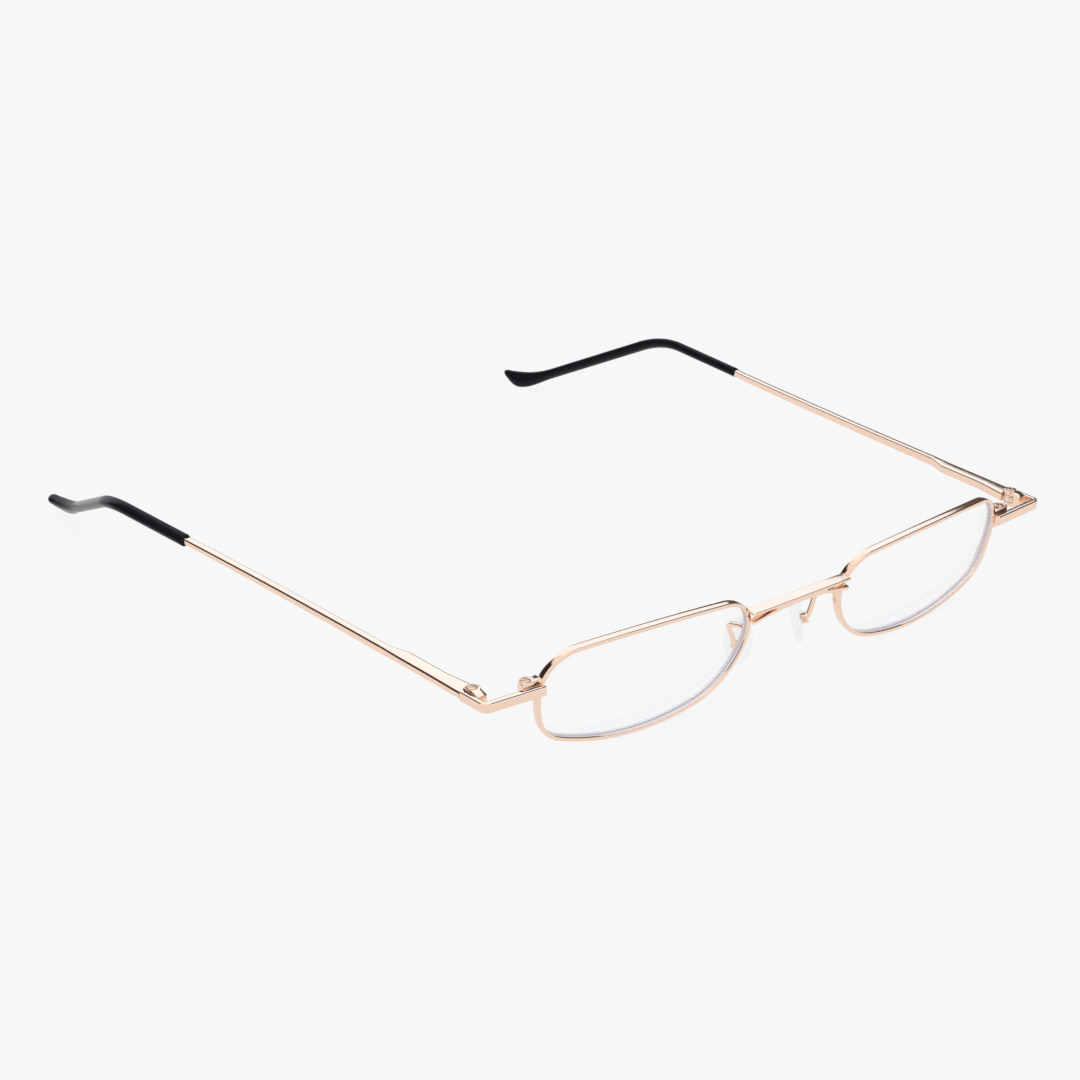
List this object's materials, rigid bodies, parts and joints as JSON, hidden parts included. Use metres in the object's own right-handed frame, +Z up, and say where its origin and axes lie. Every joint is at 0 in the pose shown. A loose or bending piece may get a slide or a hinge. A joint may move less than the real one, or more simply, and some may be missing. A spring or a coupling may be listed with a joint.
{
  "type": "reading glasses",
  "caption": "Metal-framed reading glasses with small half-height clear lenses, adjustable nose pads, sprung folding temples and bent plastic ear tips.",
  "frame": {"origin": "on the table, under the middle of the bounding box of the open glasses", "axes": "+X towards the wearer's left, +Y from the lenses to the ear tips, +Z up"},
  "size_m": [0.1383, 0.1516, 0.0212],
  "materials": {
    "rose_gold": "polished plating",
    "screw_metal": "polished plating",
    "spring_steel": "bright drawn",
    "tip_black": "glossy",
    "lens_clear": "clear, coated",
    "pad_clear": "clear, soft"
  },
  "bodies": {
    "front": {"bridge": "rose_gold", "rim_left": "rose_gold", "rim_right": "rose_gold", "lens_left": "lens_clear", "lens_right": "lens_clear", "endpiece_left": "rose_gold", "endpiece_right": "rose_gold", "rim_lock_upper_left": "rose_gold", "rim_lock_upper_right": "rose_gold", "rim_lock_lower_left": "rose_gold", "rim_lock_lower_right": "rose_gold", "rim_lock_screw_left": "screw_metal", "rim_lock_screw_right": "screw_metal", "hinge_leaf_left": "rose_gold", "hinge_leaf_right": "rose_gold", "hinge_screw_left": "screw_metal", "hinge_screw_right": "screw_metal", "pad_arm_left": "rose_gold", "pad_arm_right": "rose_gold", "pad_box_left": "rose_gold", "pad_box_right": "rose_gold", "pad_screw_left": "screw_metal", "pad_screw_right": "screw_metal"},
    "slider_left": {"hinge_slider_left": "spring_steel", "slider_nut_left": "spring_steel"},
    "temple_left": {"temple_bar_left": "rose_gold", "spring_housing_left": "rose_gold", "spring_bush_left": "spring_steel", "hinge_spring_left": "spring_steel", "temple_tip_left": "tip_black"},
    "pad_left": {"nose_pad_left": "pad_clear"},
    "slider_right": {"hinge_slider_right": "spring_steel", "slider_nut_right": "spring_steel"},
    "temple_right": {"temple_bar_right": "rose_gold", "spring_housing_right": "rose_gold", "spring_bush_right": "spring_steel", "hinge_spring_right": "spring_steel", "temple_tip_right": "tip_black"},
    "pad_right": {"nose_pad_right": "pad_clear"}
  },
  "joints": [
    {"name": "temple_fold_left", "type": "hinge", "parent": "front", "child": "slider_left", "pos_m": [0.06449, -0.06553, 0.01476], "axis": [0.0209, -0.0269, 0.9994], "range_deg": [0, 86]},
    {"name": "spring_slide_left", "type": "slide", "parent": "slider_left", "child": "temple_left", "axis": [0, 0.9996, 0.0269], "range_m": [0, 0.0015], "stiffness_N_per_m": 1000, "springref_m": -0.0015, "deforming": ["hinge_spring_left"]},
    {"name": "nose_pad_rock_left", "type": "hinge", "parent": "front", "child": "pad_left", "pos_m": [0.00804, -0.06789, 0.00771], "axis": [0.4695, 0.8826, 0.0238], "range_deg": [-8, 8]},
    {"name": "temple_fold_right", "type": "hinge", "parent": "front", "child": "slider_right", "pos_m": [-0.06449, -0.06553, 0.01476], "axis": [-0.0209, 0.0269, -0.9994], "range_deg": [0, 82]},
    {"name": "spring_slide_right", "type": "slide", "parent": "slider_right", "child": "temple_right", "axis": [0, 0.9996, 0.0269], "range_m": [0, 0.0015], "stiffness_N_per_m": 1000, "springref_m": -0.0015, "deforming": ["hinge_spring_right"]},
    {"name": "nose_pad_rock_right", "type": "hinge", "parent": "front", "child": "pad_right", "pos_m": [-0.00804, -0.06789, 0.00771], "axis": [-0.4695, 0.8826, 0.0238], "range_deg": [-8, 8]}
  ]
}
